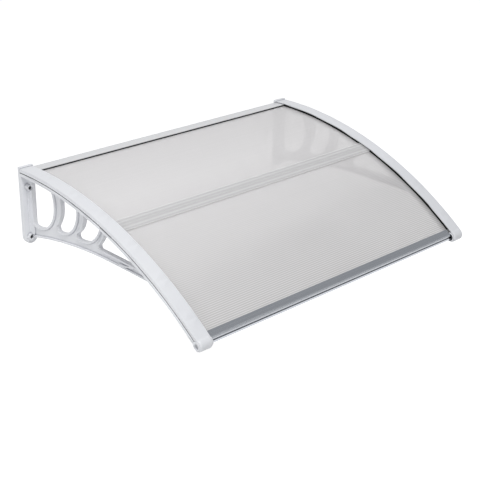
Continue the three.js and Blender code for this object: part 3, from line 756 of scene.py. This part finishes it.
steel = zincSteel()
nosePoint = onArch(archRadius - awning["noseDrop"], noseAngle) + np.array(screwBuild["port"])
screwAngles = (
    rearEnd + screwBuild["rearLead"] / archRadius,
    jointAngle - screwBuild["jointLeads"][0] / archRadius,
    jointAngle + screwBuild["jointLeads"][1] / archRadius,
    frontEnd - screwBuild["frontLead"] / archRadius,
)
for sideName, sideSign in (("left", -1), ("right", 1)):
    x = sideSign * (awning["halfWidth"] - screwBuild["inset"])
    for i, angle in enumerate(screwAngles, 1):
        reach, height = onArch(archRadius + awning["flangeUnder"] - awning["gap"], angle)
        normal = (0, -math.sin(angle), math.cos(angle))
        screw = crossScrew(
            f"{sideName}ClampScrew{i}", screwBuild["clamp"], (x, -reach, height), normal
        )
        finishPiece(screw, steel, f"{sideName}_clamp_screw_{i}")
    x = sideSign * (awning["halfWidth"] - screwBuild["noseInset"])
    place = (x, -nosePoint[0], nosePoint[1])
    screw = crossScrew(f"{sideName}NoseScrew", screwBuild["nose"], place, (-sideSign, 0, 0))
    finishPiece(screw, steel, f"{sideName}_nose_screw")
print("stage: screws")

# Floor, backdrop and light
stageBuild = {
    "floorHeight": -0.62,
    "floorHalfSize": 40.0,
    "floorColour": (0.86, 0.86, 0.86),
    "floorGlow": 0.60,
    "worldStrength": 0.47,
    "worldColour": (0.975, 0.985, 1.0),
}


# One where the ray comes from the camera, a mirror or a clear surface
def seenRay(tree):
    path = tree.nodes.new("ShaderNodeLightPath")
    seen = path.outputs["Is Camera Ray"]
    for output in ("Is Glossy Ray", "Is Transmission Ray"):
        seen = mathOn(tree, "MAXIMUM", seen, path.outputs[output])
    return seen


def makeFloor():
    half, z = stageBuild["floorHalfSize"], stageBuild["floorHeight"]
    mesh = bpy.data.meshes.new("floor")
    corners = [(-half, -half, z), (half, -half, z), (half, half, z), (-half, half, z)]
    mesh.from_pydata(corners, [], [(0, 1, 2, 3)])
    floor = bpy.data.objects.new("floor", mesh)
    bpy.context.scene.collection.objects.link(floor)
    material = bpy.data.materials.new("paleFloor")
    material.use_nodes = True
    tree = material.node_tree
    tree.nodes.clear()
    out = tree.nodes.new("ShaderNodeOutputMaterial")
    diffuse = tree.nodes.new("ShaderNodeBsdfDiffuse")
    diffuse.inputs["Color"].default_value = (*stageBuild["floorColour"], 1)
    glow = tree.nodes.new("ShaderNodeEmission")
    strength = mathOn(tree, "MULTIPLY", seenRay(tree), stageBuild["floorGlow"])
    tree.links.new(strength, glow.inputs["Strength"])
    both = tree.nodes.new("ShaderNodeAddShader")
    tree.links.new(diffuse.outputs[0], both.inputs[0])
    tree.links.new(glow.outputs[0], both.inputs[1])
    # a view from below looks through the floor
    clear = tree.nodes.new("ShaderNodeBsdfTransparent")
    geometry = tree.nodes.new("ShaderNodeNewGeometry")
    mix = tree.nodes.new("ShaderNodeMixShader")
    tree.links.new(geometry.outputs["Backfacing"], mix.inputs[0])
    tree.links.new(both.outputs[0], mix.inputs[1])
    tree.links.new(clear.outputs[0], mix.inputs[2])
    tree.links.new(mix.outputs[0], out.inputs["Surface"])
    floor.data.materials.append(material)


def makeWorld():
    world = bpy.data.worlds.new("studio")
    bpy.context.scene.world = world
    world.use_nodes = True
    tree = world.node_tree
    tree.nodes.clear()
    out = tree.nodes.new("ShaderNodeOutputWorld")
    soft = tree.nodes.new("ShaderNodeBackground")
    soft.inputs["Color"].default_value = (*stageBuild["worldColour"], 1)
    soft.inputs["Strength"].default_value = stageBuild["worldStrength"]
    white = tree.nodes.new("ShaderNodeBackground")
    white.inputs["Color"].default_value = (1, 1, 1, 1)
    mix = tree.nodes.new("ShaderNodeMixShader")
    tree.links.new(seenRay(tree), mix.inputs[0])
    tree.links.new(soft.outputs[0], mix.inputs[1])
    tree.links.new(white.outputs[0], mix.inputs[2])
    tree.links.new(mix.outputs[0], out.inputs["Surface"])


# Soft lamps; the right one is kept out of mirrors
lamps = {
    "key": {"place": (-1.3, -1.35, 2.7), "power": 46, "mirrored": True},
    "side": {"place": (-3.0, -1.2, 0.5), "power": 13, "mirrored": True},
    "right": {"place": (2.6, -0.6, 1.6), "power": 9, "mirrored": False},
}
lampBuild = {"size": 0.9, "aim": (0, -0.35, 0)}

# A grey card that only mirrors see, for the shade along the front bar's sloping flange
cardBuild = {
    "from": (0, -0.71, -0.22),
    "towards": (0.681, -0.38, 0.62),
    "away": 1.6,
    "raise": 0.45,
    "size": (3.6, 1.0),
    "colour": (0.94, 0.97, 1),
    "strength": 0.48,
}


def makeLamp(name, setup):
    light = bpy.data.lights.new(name, "AREA")
    light.size = lampBuild["size"]
    light.energy = setup["power"]
    obj = bpy.data.objects.new(name, light)
    bpy.context.scene.collection.objects.link(obj)
    obj.location = setup["place"]
    direction = Vector(lampBuild["aim"]) - Vector(setup["place"])
    obj.rotation_euler = direction.to_track_quat("-Z", "Y").to_euler()
    obj.visible_camera = False
    obj.visible_glossy = setup["mirrored"]


def makeCard():
    build = cardBuild
    out = Vector(build["towards"]).normalized()
    along = Vector((1, 0, 0)) - out * out.x
    along.normalize()
    up = out.cross(along)
    centre = Vector(build["from"]) + build["away"] * out + build["raise"] * up
    wide, high = build["size"]
    corners = [
        centre + a * wide / 2 * along + b * high / 2 * up
        for a, b in ((-1, -1), (1, -1), (1, 1), (-1, 1))
    ]
    mesh = bpy.data.meshes.new("greyCard")
    mesh.from_pydata([tuple(c) for c in corners], [], [(0, 1, 2, 3)])
    card = bpy.data.objects.new("greyCard", mesh)
    bpy.context.scene.collection.objects.link(card)
    material, tree, shader = newMaterial("greyCard")
    shader.inputs["Base Color"].default_value = (0, 0, 0, 1)
    shader.inputs["Specular IOR Level"].default_value = 0
    shader.inputs["Emission Color"].default_value = (*build["colour"], 1)
    shader.inputs["Emission Strength"].default_value = build["strength"]
    mesh.materials.append(material)
    card.visible_camera = False
    card.visible_diffuse = False
    card.visible_shadow = False
    card.visible_transmission = False


# The camera stands where the photo's perspective puts it
cameraBuild = {
    "place": (-1.96295, -2.41756, 1.01945),
    "azimuth": -43.31,
    "elevation": 23.54,
    "roll": 0.65,
    "lens": 82.72,
    "sensor": 36,
    "clipEnd": 200,
}


def makeCamera():
    build = cameraBuild
    a, e, r = (math.radians(build[key]) for key in ("azimuth", "elevation", "roll"))
    back = Vector((math.sin(a) * math.cos(e), -math.cos(a) * math.cos(e), math.sin(e)))
    right = (-back).cross(Vector((0, 0, 1))).normalized()
    up = right.cross(-back)
    turnedRight = math.cos(r) * right + math.sin(r) * up
    turnedUp = -math.sin(r) * right + math.cos(r) * up
    camera = bpy.data.cameras.new("photoView")
    camera.lens = build["lens"]
    camera.sensor_width = build["sensor"]
    camera.clip_end = build["clipEnd"]
    obj = bpy.data.objects.new("photoView", camera)
    bpy.context.scene.collection.objects.link(obj)
    basis = Matrix((turnedRight, turnedUp, back)).transposed().to_4x4()
    obj.matrix_world = Matrix.Translation(build["place"]) @ basis
    bpy.context.scene.camera = obj


makeFloor()
makeWorld()
for lampName, lampSetup in lamps.items():
    makeLamp(lampName, lampSetup)
makeCard()
makeCamera()
bpy.context.scene.view_settings.view_transform = "Standard"
print("stage: floor, light and camera")

bpy.context.view_layer.update()
